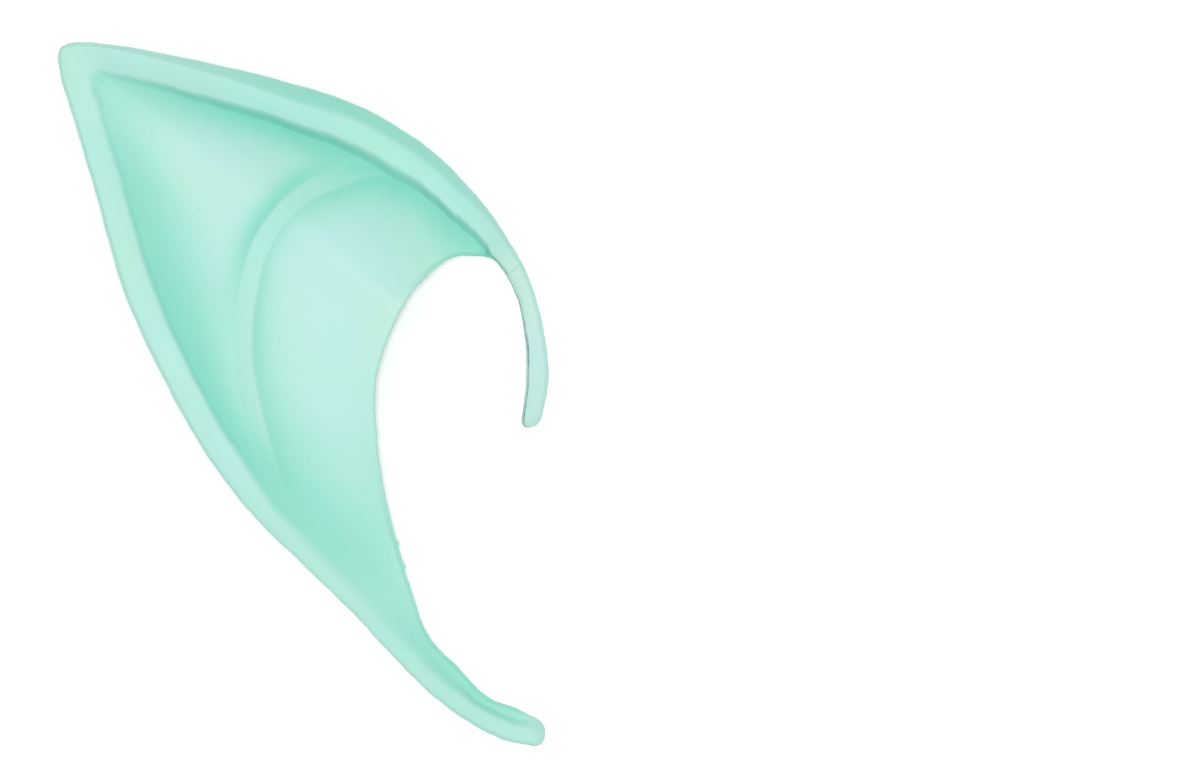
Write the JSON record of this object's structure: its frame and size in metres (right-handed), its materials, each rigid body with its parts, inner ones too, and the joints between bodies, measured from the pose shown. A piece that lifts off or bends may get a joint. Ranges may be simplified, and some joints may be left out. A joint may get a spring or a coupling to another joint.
{
  "type": "elf ear tip",
  "caption": "Slip-on pointed ear tip cast in thin latex, with rolled rim, inner ridge, C-shaped cut-out, front hook, lobe tail and an open pocket for the wearer's ear.",
  "frame": {"origin": "middle of the ear tip in plan, on the plane that its back skin lies on", "axes": "+X towards the front of the wearer's head, where the cut-out and the hook are; +Y towards the top of the head; +Z out of the ear's face, away from the surface that it lies on"},
  "size_m": [0.0698, 0.1, 0.018],
  "materials": {
    "latex": "soft satin pale mint latex, faintly mottled, deeper green in the hollows"
  },
  "bodies": {
    "root": {"elf_ear": "latex"}
  },
  "joints": []
}
